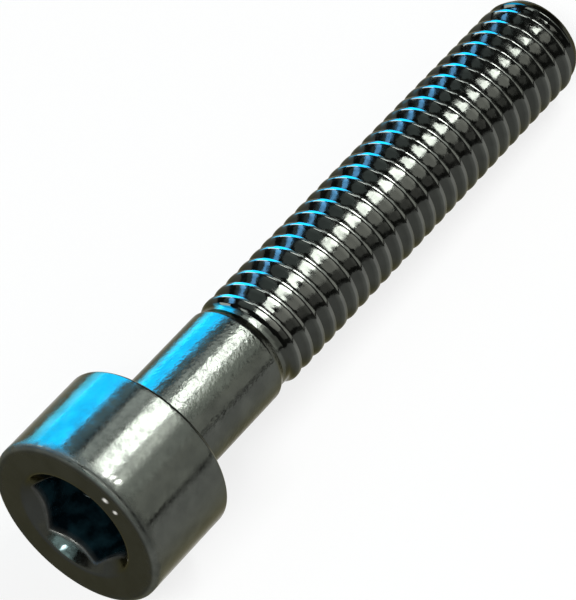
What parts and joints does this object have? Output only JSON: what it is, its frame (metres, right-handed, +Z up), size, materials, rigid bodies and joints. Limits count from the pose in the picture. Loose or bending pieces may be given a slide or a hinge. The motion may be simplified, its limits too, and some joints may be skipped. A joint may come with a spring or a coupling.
{
  "type": "hex socket cap screw",
  "caption": "Partly threaded metric cap screw with a cylindrical head, a hexagon socket, a plain shank and a rolled right-hand thread.",
  "frame": {"origin": "centre of the part's box in plan, on the floor that the screw lies on", "axes": "+Z up; the screw's axis lies in the XZ plane, with its threaded end towards +X and tilted down by 3.5 degrees"},
  "size_m": [0.0412, 0.0098, 0.0102],
  "materials": {
    "oxide_steel": "dark oxide film on steel, satin to glossy, with fine pitting and bright nicks on the edges"
  },
  "bodies": {
    "root": {"cap_screw": "oxide_steel"}
  },
  "joints": []
}
